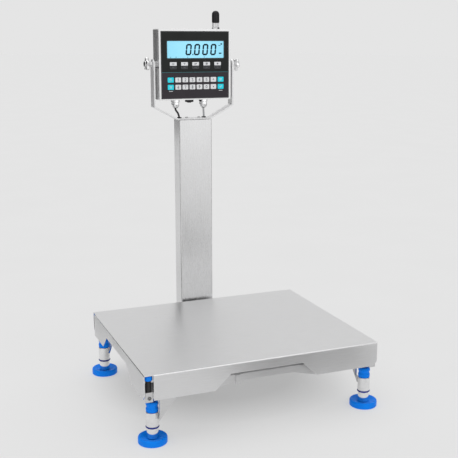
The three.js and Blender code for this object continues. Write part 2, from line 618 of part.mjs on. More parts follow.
// ---- cables: from each gland through the yoke and the column's top, then down inside ------------
function signalCable() {
  const low = (RAIL_LOW + RAIL_HIGH) / 2 - 1;
  return cableAlong([
    [GLAND_RIGHT, 0, HEAD_BOTTOM - 6], [GLAND_RIGHT, 0, HEAD_BOTTOM - 15],
    [GLAND_RIGHT, 0, HEAD_BOTTOM - 28], [GLAND_RIGHT + 0.5, 0, 700],
    [ENTRY_RIGHT, 0, 688], [ENTRY_RIGHT, 0, 672], [ENTRY_RIGHT - 3, 0, 640], [20, 2, 500], [10, 0, 300],
    [2, 2, 180], [0, -2, 145], [0, -12, low + 5], [0, -24, low], [0, -34, low], [0, -52, low],
  ], CABLE_RADIUS);
}

function supplyCable() {
  return cableAlong([
    [GLAND_LEFT, 0, HEAD_BOTTOM - 6], [GLAND_LEFT, 0, HEAD_BOTTOM - 15],
    [GLAND_LEFT, 0, HEAD_BOTTOM - 28], [GLAND_LEFT + 5, 0, 700],
    [ENTRY_LEFT, 0, 688], [ENTRY_LEFT, 0, 672], [ENTRY_LEFT + 6, 0, 640], [-26, 6, 500], [-16, 8, 300],
    [-6, 8, 180], [-2, 4, 140], [0, 6, 122], [0, 14, INLET_Z], [0, 24, INLET_Z], [0, 34, INLET_Z],
  ], CABLE_RADIUS);
}
place("signal_cable", signalCable(), CABLE_GREY, columnGroup);
place("supply_cable", supplyCable(), BLACK, columnGroup);

export default scale;
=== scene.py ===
import json
import math

import bmesh
import bpy
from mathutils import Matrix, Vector

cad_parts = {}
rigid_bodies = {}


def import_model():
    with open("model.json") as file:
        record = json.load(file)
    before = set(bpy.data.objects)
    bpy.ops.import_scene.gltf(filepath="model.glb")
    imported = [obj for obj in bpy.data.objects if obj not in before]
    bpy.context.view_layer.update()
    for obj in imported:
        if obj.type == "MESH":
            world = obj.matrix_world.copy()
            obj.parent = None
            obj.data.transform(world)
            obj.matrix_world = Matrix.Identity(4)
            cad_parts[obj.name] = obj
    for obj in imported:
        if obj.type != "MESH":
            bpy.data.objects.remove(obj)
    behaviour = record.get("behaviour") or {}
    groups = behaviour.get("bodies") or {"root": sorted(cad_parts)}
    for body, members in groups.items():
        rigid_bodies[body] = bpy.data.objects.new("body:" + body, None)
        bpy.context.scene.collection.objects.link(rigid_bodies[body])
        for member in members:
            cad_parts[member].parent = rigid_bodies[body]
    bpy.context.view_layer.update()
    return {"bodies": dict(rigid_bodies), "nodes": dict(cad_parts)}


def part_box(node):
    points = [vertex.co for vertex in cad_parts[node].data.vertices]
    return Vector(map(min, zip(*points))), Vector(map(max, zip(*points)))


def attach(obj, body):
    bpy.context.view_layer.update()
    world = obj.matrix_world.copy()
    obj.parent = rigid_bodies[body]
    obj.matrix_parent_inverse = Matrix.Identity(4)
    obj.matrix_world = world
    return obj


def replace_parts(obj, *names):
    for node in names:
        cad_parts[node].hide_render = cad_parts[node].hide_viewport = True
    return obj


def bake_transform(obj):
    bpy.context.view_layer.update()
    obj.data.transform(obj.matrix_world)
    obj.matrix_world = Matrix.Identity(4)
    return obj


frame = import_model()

NODES = frame["nodes"]
MM = 0.001
DIVIDER_RISE = 20.2 * MM  # the panel's printed line, above the upper row of number keys
CORNERS = ("front_left", "front_right", "rear_left", "rear_right")
SCENE = bpy.context.scene


def centre(node):
    low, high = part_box(node)
    return (low + high) / 2


# ---- camera ---------------------------------------------------------------------------------------
CAMERA_AT = (-0.7897, -2.0078, 0.8956)
CAMERA_PITCH, CAMERA_YAW = 12.387, 21.921  # degrees below level, and from +Y towards +X
CAMERA_LENS, SENSOR_WIDTH = 67.3, 36


def make_camera():
    data = bpy.data.cameras.new("camera")
    data.lens = CAMERA_LENS
    data.sensor_width = SENSOR_WIDTH
    camera = bpy.data.objects.new("camera", data)
    camera.location = CAMERA_AT
    camera.rotation_euler = (math.radians(90 - CAMERA_PITCH), 0, math.radians(-CAMERA_YAW))
    SCENE.collection.objects.link(camera)
    SCENE.camera = camera
    SCENE.view_settings.view_transform = "Standard"


make_camera()


# ---- material nodes -------------------------------------------------------------------------------
class Look:
    """A Principled material, and short calls that add nodes to it."""

    def __init__(self, name, color, roughness, metallic=0.0, **sockets):
        self.material = bpy.data.materials.new(name)
        self.material.use_nodes = True
        self.tree = self.material.node_tree
        self.shader = self.tree.nodes["Principled BSDF"]
        self.set("Base Color", (*color, 1.0))
        self.set("Roughness", roughness)
        self.set("Metallic", metallic)
        for socket, value in sockets.items():
            self.set(socket.replace("_", " "), value)
        self.place = self.tree.nodes.new("ShaderNodeTexCoord").outputs["Object"]

    def set(self, socket, value):
        self.shader.inputs[socket].default_value = value

    def node(self, kind, inputs, **settings):
        made = self.tree.nodes.new(kind)
        for key, value in settings.items():
            setattr(made, key, value)
        for key, value in inputs.items():
            if isinstance(value, bpy.types.NodeSocket):
                self.tree.links.new(value, made.inputs[key])
            else:
                made.inputs[key].default_value = value
        return made

    def noise(self, scale, stretch=(1, 1, 1), detail=3.0, roughness=0.5):
        """Noise over the piece's own place, scale cycles a metre, stretched by a factor for each axis."""
        mapped = self.node("ShaderNodeMapping", {"Vector": self.place, "Scale": stretch})
        made = self.node("ShaderNodeTexNoise", {
            "Vector": mapped.outputs["Vector"], "Scale": scale, "Detail": detail, "Roughness": roughness})
        return made.outputs["Fac"]

    def ranged(self, value, low, high, start=0.3, end=0.7):
        """Takes start..end to low..high."""
        made = self.node("ShaderNodeMapRange", {
            "Value": value, "From Min": start, "From Max": end, "To Min": low, "To Max": high})
        return made.outputs["Result"]

    def tint(self, factor, first, second):
        """Base colour: first where factor is 0 and second where it is 1."""
        mixed = self.node("ShaderNodeMix", {0: factor, 6: (*first, 1.0), 7: (*second, 1.0)}, data_type="RGBA")
        self.tree.links.new(mixed.outputs[2], self.shader.inputs["Base Color"])

    def rough(self, value):
        self.tree.links.new(value, self.shader.inputs["Roughness"])

    def bump(self, *heights):
        """Bumps, one after the other: (height, strength, distance in metres)."""
        normal = None
        for height, strength, distance in heights:
            inputs = {"Height": height, "Strength": strength, "Distance": distance}
            if normal:
                inputs["Normal"] = normal
            normal = self.node("ShaderNodeBump", inputs).outputs["Normal"]
        self.tree.links.new(normal, self.shader.inputs["Normal"])

    def add(self, first, second):
        return self.node("ShaderNodeMath", {0: first, 1: second}, operation="ADD").outputs[0]


GRAIN = {"x": (0.02, 1, 1), "y": (1, 0.02, 1), "z": (1, 1, 0.02)}


def brushed(name, along, tone, roughness):
    """Brushed stainless sheet: fine and coarse streaks along one axis, faint clouding from handling."""
    look = Look(name, (tone, tone, tone * 1.005), roughness, 1.0)
    fine = look.noise(5200, GRAIN[along], 2)
    coarse = look.noise(1100, GRAIN[along], 3)
    clouds = look.noise(6, detail=4)
    streaks = look.add(look.ranged(fine, -0.05, 0.05), look.ranged(coarse, -0.03, 0.04))
    normal = look.node("ShaderNodeVectorMath", {
        0: look.node("ShaderNodeNewGeometry", {}).outputs["Normal"]}, operation="ABSOLUTE").outputs[0]
    sides = look.node("ShaderNodeSeparateXYZ", {"Vector": normal}).outputs
    widest = look.node("ShaderNodeMath", {0: sides["X"], 1: sides["Y"]}, operation="MAXIMUM").outputs[0]
    widest = look.node("ShaderNodeMath", {0: widest, 1: sides["Z"]}, operation="MAXIMUM").outputs[0]
    bend = look.ranged(widest, -0.6, 0, 0.8, 0.99)
    smoother = look.add(look.ranged(clouds, -0.035, 0.045), look.ranged(bend, -0.2, 0, -0.6, 0))
    look.rough(look.add(look.add(streaks, smoother), roughness))
    dark = tone * 0.95
    light = tone * 1.03
    look.tint(look.ranged(coarse, 0, 1), (dark, dark, dark), (light, light, light * 1.01))
    look.bump((fine, 0.1, 0.0001), (coarse, 0.06, 0.0002))
    return look.material


def polished(name, tone, roughness):
    """Turned and polished stainless: a mirror with faint turning marks and wiped smudges."""
    look = Look(name, (tone, tone, tone), roughness, 1.0)
    marks = look.noise(2500, (0.05, 0.05, 1), 2)
    smudges = look.noise(60, detail=4)
    look.rough(look.add(look.ranged(marks, -0.02, 0.03), look.ranged(smudges, roughness, roughness + 0.1)))
    look.tint(look.ranged(smudges, 0, 1), (tone, tone, tone), (tone * 0.9, tone * 0.9, tone * 0.91))
    look.bump((marks, 0.06, 0.0001))
    return look.material


def moulded(name, color, roughness, spread=0.12, pits=900, strength=0.15, **sockets):
    """Moulded plastic or rubber: fine texture, slight colour drift, scuffs that change the gloss."""
    look = Look(name, color, roughness, 0.0, **sockets)
    drift = look.noise(35, detail=4)
    skin = look.noise(pits, detail=2)
    scuffs = look.noise(220, (1, 1, 0.15), 3)
    darker = [c * (1 - spread) for c in color]
    lighter = [min(1, c * (1 + spread)) for c in color]
    look.tint(look.ranged(drift, 0, 1), darker, lighter)
    look.rough(look.add(look.ranged(skin, -0.04, 0.06), look.ranged(scuffs, roughness, roughness + 0.12)))
    look.bump((skin, strength, 0.0002))
    return look.material


STEEL_TOP = brushed("brushed_steel_platter", "x", 0.75, 0.36)
STEEL_Z = brushed("brushed_steel_upright", "z", 0.74, 0.27)
STEEL_HEAD = brushed("brushed_steel_housing", "z", 0.52, 0.25)
STEEL_YOKE = brushed("brushed_steel_yoke", "z", 0.9, 0.5)
STEEL_DULL = brushed("brushed_steel_frame", "x", 0.66, 0.36)
EDGE = polished("polished_edge", 0.90, 0.14)
CHROME = polished("polished_steel", 0.88, 0.06)
ALUMINIUM = brushed("machined_aluminium", "y", 0.72, 0.36)
CHROME_SOFT = polished("satin_steel", 0.86, 0.15)
BLUE = moulded("blue_polymer", (0.0004, 0.235, 1.0), 0.42, spread=0.06, Specular_IOR_Level=0.14)
BLUE_DARK = moulded("dark_blue_seal", (0.004, 0.018, 0.26), 0.4)
RUBBER = moulded("black_rubber", (0.018, 0.018, 0.02), 0.55)
BLACK_GLOSS = moulded("black_glossy_polymer", (0.006, 0.006, 0.007), 0.16, pits=300, strength=0.03,
                      Specular_IOR_Level=0.35)
CABLE_BLACK = moulded("black_cable_jacket", (0.016, 0.016, 0.018), 0.42)
CABLE_GREY = moulded("grey_cable_jacket", (0.46, 0.47, 0.48), 0.4)
KEY_WHITE = moulded("white_key_print", (0.88, 0.89, 0.91), 0.4, spread=0.03)
KEY_BLUE = moulded("blue_key_print", (0.03, 0.82, 1.0), 0.38, spread=0.05, Specular_IOR_Level=0.2)
KEY_DARK = moulded("dark_key_print", (0.03, 0.032, 0.036), 0.4)
INK_DARK = moulded("dark_ink", (0.006, 0.02, 0.035), 0.5)
INK_WHITE = moulded("white_ink", (0.82, 0.84, 0.85), 0.5, spread=0.03)
INK_TRIM = moulded("grey_ink", (0.16, 0.17, 0.18), 0.5)
INK_TEAL = moulded("teal_ink", (0.05, 0.22, 0.25), 0.5)
INK_DISPLAY = moulded("display_ink", (0.002, 0.028, 0.045), 0.3, spread=0.05, Specular_IOR_Level=0.15)
BRASS = polished("brass", 0.6, 0.3)
SCREW_DARK = polished("dark_screw", 0.24, 0.3)
STEEL_SCREW = polished("screw_steel", 0.62, 0.2)


def panel_film():
    """Printed film: near black above the divider and a little lighter below it, with a fine orange peel."""
    look = Look("panel_film", (0.018, 0.017, 0.018), 0.34, 0.0, Specular_IOR_Level=0.22)
    divider = centre("upper_key_1").z + DIVIDER_RISE
    height = look.node("ShaderNodeSeparateXYZ", {"Vector": look.place}).outputs["Z"]
    upper = look.ranged(height, 0, 1, divider - 0.2 * MM, divider + 0.2 * MM)
    look.tint(upper, (0.036, 0.03, 0.037), (0.012, 0.014, 0.013))
    peel = look.noise(1500, detail=2)
    wiped = look.noise(30, detail=4)
    look.rough(look.ranged(wiped, 0.3, 0.42))
    look.bump((peel, 0.12, 0.0001))
    return look.material


def backlit():
    """Liquid crystal window with an even cyan backlight that fades slightly towards its ends."""
    look = Look("lcd_backlight", (0.33, 0.72, 0.96), 0.25, 0.0, Specular_IOR_Level=0.2)
    low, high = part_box("lcd_display")
    across = look.node("ShaderNodeSeparateXYZ", {"Vector": look.place}).outputs["X"]
    spread = look.ranged(across, -1, 1, low.x, high.x)
    edge = look.node("ShaderNodeMath", {0: spread, 1: spread}, operation="MULTIPLY").outputs[0]
    grain = look.noise(900, detail=2)
    fade = look.add(look.ranged(edge, 0, 0.75, 0, 1), look.ranged(grain, -0.05, 0.05))
    look.tint(fade, (0.34, 0.74, 0.98), (0.25, 0.62, 0.82))
    look.set("Emission Color", (0.35, 0.83, 0.96, 1.0))
    look.set("Emission Strength", 0.3)
    look.bump((grain, 0.03, 0.0001))
    return look.material


def circuit():
    """Solder mask over copper tracks."""
    look = Look("solder_mask", (0.02, 0.16, 0.07), 0.35, 0.0, Coat_Weight=0.3)
    tracks = look.node("ShaderNodeTexBrick", {
        "Vector": look.place, "Scale": 160.0, "Mortar Size": 0.03}).outputs["Fac"]
    look.tint(tracks, (0.012, 0.12, 0.05), (0.05, 0.26, 0.12))
    look.bump((tracks, 0.2, 0.0001))
    return look.material


PANEL_FILM = panel_film()
BACKLIT = backlit()
CIRCUIT = circuit()


# ---- geometry helpers -----------------------------------------------------------------------------
def shade(mesh, degrees=35):
    mesh.polygons.foreach_set("use_smooth", [True] * len(mesh.polygons))
    mesh.set_sharp_from_angle(angle=math.radians(degrees))


def piece(name, shape, material, body, degrees=35):
    """A new object from a bmesh, riding on a body."""
    mesh = bpy.data.meshes.new(name)
    bmesh.ops.remove_doubles(shape, verts=shape.verts, dist=1e-7)
    bmesh.ops.recalc_face_normals(shape, faces=shape.faces)
    shape.to_mesh(mesh)
    shape.free()
    shade(mesh, degrees)
    mesh.materials.append(material)
    made = bpy.data.objects.new(name, mesh)
    SCENE.collection.objects.link(made)
    if body:
        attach(made, body)
    return made


def fillet(profile, radius, steps=3):
    """A (radius, height) profile with each inner corner rounded."""
    points = [Vector(p) for p in profile]
    made = [tuple(points[0])]
    for before, here, after in zip(points, points[1:], points[2:]):
        into = (before - here).normalized()
        out = (after - here).normalized()
        reach = min(radius, (before - here).length * 0.45, (after - here).length * 0.45)
        start = here + into * reach
        end = here + out * reach
        for i in range(steps + 1):
            t = i / steps
            point = start * (1 - t) ** 2 + here * 2 * t * (1 - t) + end * t ** 2
            made.append(tuple(point))
    made.append(tuple(points[-1]))
    return made


def turned(shape, profile, at, axis=(0, 0, 1), segments=48, outline=None):
    """Adds a turned surface to a bmesh. outline(r, h, angle) may change the radius on the way round."""
    turn = Vector((0, 0, 1)).rotation_difference(Vector(axis)).to_matrix()
    rings = []
    for r, h in profile:
        if r < 1e-7:
            rings.append([shape.verts.new(Vector(at) + turn @ Vector((0, 0, h)))])
            continue
        ring = []
        for i in range(segments):
            angle = 2 * math.pi * i / segments
            reach = outline(r, h, angle) if outline else r
            local = Vector((reach * math.cos(angle), reach * math.sin(angle), h))
            ring.append(shape.verts.new(Vector(at) + turn @ local))
        rings.append(ring)
    for first, second in zip(rings, rings[1:]):
        for i in range(segments):
            j = (i + 1) % segments
            corners = [first[i % len(first)], first[j % len(first)],
                       second[j % len(second)], second[i % len(second)]]
            kept = list(dict.fromkeys(corners))
            if len(kept) > 2:
                shape.faces.new(kept)
    return shape


def plate(shape, outline, y_front, y_back):
    """Adds a prism to a bmesh: an outline of (x, z) points, between two places along Y."""
    front = [shape.verts.new((x, y_front, z)) for x, z in outline]
    back = [shape.verts.new((x, y_back, z)) for x, z in outline]
    shape.faces.new(front)
    shape.faces.new(back[::-1])
    count = len(outline)
    for i in range(count):
        j = (i + 1) % count
        shape.faces.new([front[j], front[i], back[i], back[j]])
    return shape


def round_corners(x0, x1, z0, z1, radius, steps=5):
    """A rounded rectangle as (x, z) points."""
    corners = [(x1 - radius, z0 + radius, -90), (x1 - radius, z1 - radius, 0),
               (x0 + radius, z1 - radius, 90), (x0 + radius, z0 + radius, 180)]
    points = []
    for cx, cz, first in corners:
        for i in range(steps + 1):
            angle = math.radians(first + 90 * i / steps)
            points.append((cx + radius * math.cos(angle), cz + radius * math.sin(angle)))
    return points


def path_through(points, steps=6):
    """A smooth line through points: a Catmull-Rom curve, sampled evenly between each two."""
    known = [Vector(p) for p in points]
    known = [known[0] * 2 - known[1], *known, known[-1] * 2 - known[-2]]
    made = []
    for a, b, c, d in zip(known, known[1:], known[2:], known[3:]):
        for i in range(steps):
            t = i / steps
            made.append(0.5 * (2 * b + (c - a) * t + (2 * a - 5 * b + 4 * c - d) * t ** 2
                               + (3 * b - a - 3 * c + d) * t ** 3))
    made.append(known[-2])
    return made


def tube(shape, line, radius, sides=16, ripple=0.0):
    """Adds a closed tube along a line of points. ripple makes its radius rise and fall, as on a weld bead."""
    rings = []
    side = None
    for i, point in enumerate(line):
        ahead = (line[min(i + 1, len(line) - 1)] - line[max(i - 1, 0)]).normalized()
        if side is None:
            side = ahead.orthogonal().normalized()
        side = (side - ahead * side.dot(ahead)).normalized()
        other = ahead.cross(side)
        reach = radius * (1 + ripple * math.sin(i * 2.2) + 0.5 * ripple * math.sin(i * 5.3))
        rings.append([
            shape.verts.new(point + (side * math.cos(a) + other * math.sin(a)) * reach)
            for a in (2 * math.pi * k / sides for k in range(sides))])
    for first, second in zip(rings, rings[1:]):
        for k in range(sides):
            n = (k + 1) % sides
            shape.faces.new([first[k], first[n], second[n], second[k]])
    shape.faces.new(rings[0][::-1])
    shape.faces.new(rings[-1])
    return shape


def hexagon(across_flats):
    """An outline for turned() that makes a hexagon with corners rounded by its own circle."""
    half = across_flats / 2

    def outline(r, _h, angle):
        wedge = math.pi / 3
        turn = (angle + wedge / 2) % wedge - wedge / 2
        return min(r, half / math.cos(turn))
    return outline


# ---- CAD nodes that stay: bevels, smooth shading and their material -------------------------------
def smoothing_nodes(degrees):
    """Geometry nodes that shade smooth, with edges sharper than an angle left sharp."""
    group = bpy.data.node_groups.new("smooth_by_angle", "GeometryNodeTree")
    group.interface.new_socket("Geometry", in_out="INPUT", socket_type="NodeSocketGeometry")
    group.interface.new_socket("Geometry", in_out="OUTPUT", socket_type="NodeSocketGeometry")
    start = group.nodes.new("NodeGroupInput")
    end = group.nodes.new("NodeGroupOutput")
    faces = group.nodes.new("GeometryNodeSetShadeSmooth")
    edges = group.nodes.new("GeometryNodeSetShadeSmooth")
    edges.domain = "EDGE"
    edges.inputs["Shade Smooth"].default_value = False
    angle = group.nodes.new("GeometryNodeInputMeshEdgeAngle")
    sharper = group.nodes.new("ShaderNodeMath")
    sharper.operation = "GREATER_THAN"
    sharper.inputs[1].default_value = math.radians(degrees)
    link = group.links.new
    link(angle.outputs["Unsigned Angle"], sharper.inputs[0])
    link(start.outputs[0], faces.inputs["Geometry"])
    link(faces.outputs[0], edges.inputs["Geometry"])
    link(sharper.outputs[0], edges.inputs["Selection"])
    link(edges.outputs[0], end.inputs[0])
    return group


SMOOTHING = smoothing_nodes(38)


def dress(name, material, width, edge=None):
    """Gives a CAD node its material, and rounds its sharp edges with modifiers."""
    node = NODES[name]
    node.data.materials.clear()
    node.data.materials.append(material)
    node.data.materials.append(edge or material)
    weld = node.modifiers.new("weld", "WELD")
    weld.merge_threshold = 2e-6
    flat = node.modifiers.new("flatten", "DECIMATE")
    flat.decimate_type = "DISSOLVE"
    flat.angle_limit = math.radians(0.8)
    bevel = node.modifiers.new("bevel", "BEVEL")
    bevel.width = width
    bevel.segments = 2
    bevel.limit_method = "ANGLE"
    bevel.angle_limit = math.radians(30)
    bevel.material = 1
    smooth = node.modifiers.new("smooth", "NODES")
    smooth.node_group = SMOOTHING
    weighted = node.modifiers.new("normals", "WEIGHTED_NORMAL")
    weighted.keep_sharp = True


def dress_nodes():
    dress("platter", STEEL_TOP, 0.4 * MM, EDGE)
    dress("spider", STEEL_DULL, 0.8 * MM)
    dress("load_cell", ALUMINIUM, 0.6 * MM)
    dress("base_frame", STEEL_DULL, 0.5 * MM)
    dress("column", STEEL_Z, 0.4 * MM, EDGE)
    dress("column_bracket", STEEL_DULL, 0.8 * MM)
    dress("yoke", STEEL_YOKE, 0.5 * MM, EDGE)
    dress("indicator_front_frame", STEEL_Z, 0.7 * MM, EDGE)
    dress("indicator_rear_shell", STEEL_HEAD, 0.7 * MM, EDGE)
    dress("keypad_panel", PANEL_FILM, 0.15 * MM)
    dress("lcd_display", BACKLIT, 0.15 * MM)
    dress("circuit_board", CIRCUIT, 0.2 * MM)
    for name in KEYS:
        if "blue" in name:
            dress(name, KEY_BLUE, 0.35 * MM)
        elif "function" in name:
            dress(name, KEY_DARK, 0.35 * MM)
        else:
            dress(name, KEY_WHITE, 0.35 * MM)


KEYS = sorted(name for name in NODES if "_key" in name and name != "keypad_panel")
dress_nodes()


# ---- levelling feet -------------------------------------------------------------------------------
def rings(points):
    """A profile in millimetres as one in metres."""
    return [(r * MM, h * MM) for r, h in points]


def foot(corner):
    middle = centre(f"foot_pad_{corner}")
    at = Vector((middle.x, middle.y, 0))
    sleeve_low = (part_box(f"foot_spindle_{corner}")[1].z - 0.0555) / MM
    collar_low, collar_high = (v.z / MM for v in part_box(f"foot_collar_{corner}"))

    pad_profile = fillet(rings([
        (0, 0.8), (24, 0.8), (25, 0), (33, 0), (34, 1.4), (34, 12.8), (32.6, 15.2), (29, 15.3), (19, 12.3),
        (15.4, 11.6), (14, 11.2), (9.6, 9), (0, 8.6),
    ]), 1 * MM, 4)
    pad = turned(bmesh.new(), pad_profile, at, segments=96)
    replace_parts(piece(f"pad_{corner}", pad, BLUE, f"foot_{corner}"), f"foot_pad_{corner}")

    stem_profile = fillet(rings([
        (0, 9.4), (9, 9.4), (13, 11.7), (13.5, 12.4), (13.5, sleeve_low - 4.6),
        (12, sleeve_low - 3), (8, sleeve_low - 3), (8, 94), (6.5, 96), (0, 96),
    ]), 0.6 * MM)
    stem = turned(bmesh.new(), stem_profile, at, segments=64)
    stem_piece = piece(f"stem_{corner}", stem, CHROME, f"spindle_{corner}")
    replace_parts(stem_piece, f"foot_spindle_{corner}")

    wiper_profile = fillet(rings([
        (13.7, sleeve_low - 2.9), (15.6, sleeve_low - 2.9), (15.9, sleeve_low - 1.4), (15.6, sleeve_low - 0.1),
        (13.7, sleeve_low - 0.1), (13.7, sleeve_low - 2.9),
    ]), 0.4 * MM)
    wiper = turned(bmesh.new(), wiper_profile, at, segments=64)
    piece(f"wiper_{corner}", wiper, BLUE_DARK, "base")

    top = collar_low - 0.2
    sleeve_profile = fillet(rings([
        (8.4, sleeve_low), (14.2, sleeve_low), (15, sleeve_low + 1), (15, top - 1.4), (14.2, top), (8.4, top),
    ]), 0.5 * MM)
    sleeve = turned(bmesh.new(), sleeve_profile, at, segments=64)
    piece(f"sleeve_{corner}", sleeve, CHROME_SOFT, "base")

    def ribbed(r, _h, angle):
        """Grip ribs on the two wide bands of the collar."""
        if r > 13.9 * MM:
            return r - 0.3 * MM * (1 - math.cos(18 * angle))
        return r

    low, high = collar_low, collar_high
    collar_profile = fillet(rings([
        (8.4, low), (13.4, low), (14.5, low + 2), (14.7, low + 8), (13.1, low + 11), (12.9, low + 14.4),
        (14.5, low + 17), (14.8, low + 19), (14.5, high - 3), (12.6, high), (8.4, high), (8.4, low),
    ]), 1 * MM)
    collar = turned(bmesh.new(), collar_profile, at, segments=108, outline=ribbed)
    collar_piece = piece(f"collar_{corner}", collar, BLUE, "base")
    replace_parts(collar_piece, f"foot_collar_{corner}")


def bumper(corner):
    """A dark stud with a blue cap that stops the platter's corner."""
    low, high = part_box(f"bumper_{corner}")
    radius = (high.x - low.x) / 2 / MM
    at = Vector(((low.x + high.x) / 2, (low.y + high.y) / 2, low.z))
    top = (high.z - low.z) / MM
    stud = turned(bmesh.new(), fillet(rings([
        (0, 0), (6.5, 0), (6.5, top - 11.2), (0, top - 11.2)]), 0.3 * MM), at, segments=32)
    piece(f"bumper_stud_{corner}", stud, RUBBER, "base")
    cap = turned(bmesh.new(), fillet(rings([
        (0, top - 11), (radius - 0.6, top - 11), (radius, top - 10), (radius, top - 2), (radius - 2, top),
        (0, top)]), 0.8 * MM), at, segments=48)
    cap_piece = piece(f"bumper_cap_{corner}", cap, BLUE, "base")
    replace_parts(cap_piece, f"bumper_{corner}")


def screw(name, at, axis, radius, body, material=None):
    """A button-head screw with a hexagon socket, its seat at a point and its head along an axis."""
    head = radius * 0.62
    socket = radius * 0.42
    dome = [(0, -0.0004), (radius, -0.0004), (radius, head * 0.25), (radius * 0.86, head * 0.75),
            (radius * 0.6, head), (socket * 1.12, head)]
    well = [(socket, head * 0.94), (socket, head * 0.35), (0, head * 0.28)]
    flats = hexagon(socket * 1.75)

    def outline(r, h, angle):
        return flats(r, h, angle) if r <= socket * 1.001 else r

    shape = turned(bmesh.new(), dome + well, at, axis, 36, outline)
    return piece(name, shape, material or STEEL_SCREW, body, 40)


for corner_name in CORNERS:
    foot(corner_name)
    bumper(corner_name)


# ---- print on the panel ---------------------------------------------------------------------------
# Every mark is a thin raised print on the front of its piece, drawn on a small grid of strokes.
PRINT = 0.12 * MM
PRINT_ROOT = 0.05 * MM  # how far each print reaches into its face
DIGIT_STROKES = {
    "1": [[(0.25, 0.82), (0.55, 1), (0.55, 0)]],
    "2": [[(0.08, 0.82), (0.28, 1), (0.72, 1), (0.92, 0.8), (0.9, 0.6), (0.08, 0), (0.95, 0)]],
    "3": [[(0.08, 1), (0.9, 1), (0.5, 0.6), (0.9, 0.38), (0.9, 0.14), (0.66, 0), (0.26, 0), (0.06, 0.14)]],
    "4": [[(0.72, 0), (0.72, 1), (0.05, 0.3), (0.98, 0.3)]],
    "5": [[(0.88, 1), (0.18, 1), (0.12, 0.56), (0.6, 0.62), (0.92, 0.42), (0.9, 0.14), (0.62, 0),
           (0.08, 0.04)]],
    "6": [[(0.78, 1), (0.3, 0.72), (0.08, 0.3), (0.26, 0), (0.72, 0), (0.92, 0.24), (0.76, 0.54),
           (0.16, 0.46)]],
    "7": [[(0.06, 1), (0.95, 1), (0.4, 0)]],
    "8": [[(0.5, 0.55), (0.14, 0.72), (0.24, 1), (0.76, 1), (0.86, 0.72), (0.5, 0.55), (0.08, 0.3), (0.2, 0),
           (0.8, 0), (0.92, 0.3), (0.5, 0.55)]],
    "9": [[(0.22, 0), (0.7, 0.28), (0.92, 0.7), (0.74, 1), (0.28, 1), (0.08, 0.76), (0.24, 0.46),
           (0.84, 0.54)]],
    "0": [[(0.5, 0), (0.14, 0.16), (0.06, 0.5), (0.14, 0.84), (0.5, 1), (0.86, 0.84), (0.94, 0.5), (0.86, 0.16),
           (0.5, 0)]],
}
SYMBOL_STROKES = {
    "up": [[(0.15, 0.35), (0.5, 0.8), (0.85, 0.35)]],
    "down": [[(0.15, 0.7), (0.5, 0.25), (0.85, 0.7)]],
    "ring": [[(0.5, 0.05), (0.14, 0.2), (0.05, 0.5), (0.14, 0.8), (0.5, 0.95), (0.86, 0.8), (0.95, 0.5),
              (0.86, 0.2), (0.5, 0.05)], [(0.5, 0.55), (0.5, 1.1)]],
    "cross": [[(0.1, 0.1), (0.9, 0.9)], [(0.1, 0.9), (0.9, 0.1)]],
    "tick": [[(0.05, 0.5), (0.4, 0.1), (0.95, 0.95)]],
    "lines": [[(0.05, 0.85), (0.95, 0.85)], [(0.05, 0.5), (0.95, 0.5)], [(0.05, 0.15), (0.65, 0.15)]],
    "zero": [[(0.2, 0.5), (0.35, 0.9), (0.65, 0.9), (0.8, 0.5), (0.65, 0.1), (0.35, 0.1), (0.2, 0.5)],
             [(-0.2, 0.5), (0.05, 0.5)], [(0.95, 0.5), (1.2, 0.5)]],
    "tare": [[(0, 0.85), (1, 0.85)], [(0.5, 0.85), (0.5, 0.1)]],
    "swap": [[(0, 0.7), (1, 0.7), (0.75, 0.95)], [(1, 0.3), (0, 0.3), (0.25, 0.05)]],
    "page": [[(0.15, 0), (0.15, 1), (0.85, 1), (0.85, 0), (0.15, 0)], [(0.35, 0.65), (0.65, 0.65)],
             [(0.35, 0.35), (0.65, 0.35)]],
    "star": [[(0.1, 0.25), (0.9, 0.75)], [(0.9, 0.25), (0.1, 0.75)], [(0.5, 0), (0.5, 1)]],
}
KEY_MARKS = {
    "upper_key_1": "1", "upper_key_2": "2", "upper_key_3": "3", "upper_key_4": "4", "upper_key_5": "5",
    "upper_key_6": "up", "lower_key_1": "6", "lower_key_2": "7", "lower_key_3": "8", "lower_key_4": "9",
    "lower_key_5": "0", "lower_key_6": "down", "upper_left_blue_key": "ring", "lower_left_blue_key": "cross",
    "upper_right_blue_key": "lines", "lower_right_blue_key": "tick", "function_key_1": "zero",
    "function_key_2": "tare", "function_key_3": "swap", "function_key_4": "page", "function_key_5": "star",
}


def patch(shape, outline, front):
    """Adds a printed patch on a face at y = front."""
    plate(shape, outline, front - PRINT, front + PRINT_ROOT)


def stroke(shape, points, width, front):
    """Adds one printed line with square joints: a thin patch for every step."""
    half = width / 2
    for a, b in zip(points, points[1:]):
        a, b = Vector(a), Vector(b)
        ahead = (b - a).normalized() * half
        side = Vector((-ahead.y, ahead.x))
        patch(shape, [a - ahead - side, b + ahead - side, b + ahead + side, a - ahead + side], front)


def mark(shape, name, middle, width, height, line, front):
    """Adds a digit or a symbol, centred on (x, z), printed on a face at y = front."""
    strokes = DIGIT_STROKES.get(name) or SYMBOL_STROKES[name]
    for points in strokes:
        placed = [(middle[0] + (u - 0.5) * width, middle[1] + (v - 0.5) * height) for u, v in points]
        stroke(shape, placed, line, front)


def printed(name, shape, material, body):
    return piece(name, shape, material, body, 30)


def body_of(node):
    """The body that a CAD node belongs to."""
    return next(name for name, body in frame["bodies"].items() if NODES[node].parent == body)


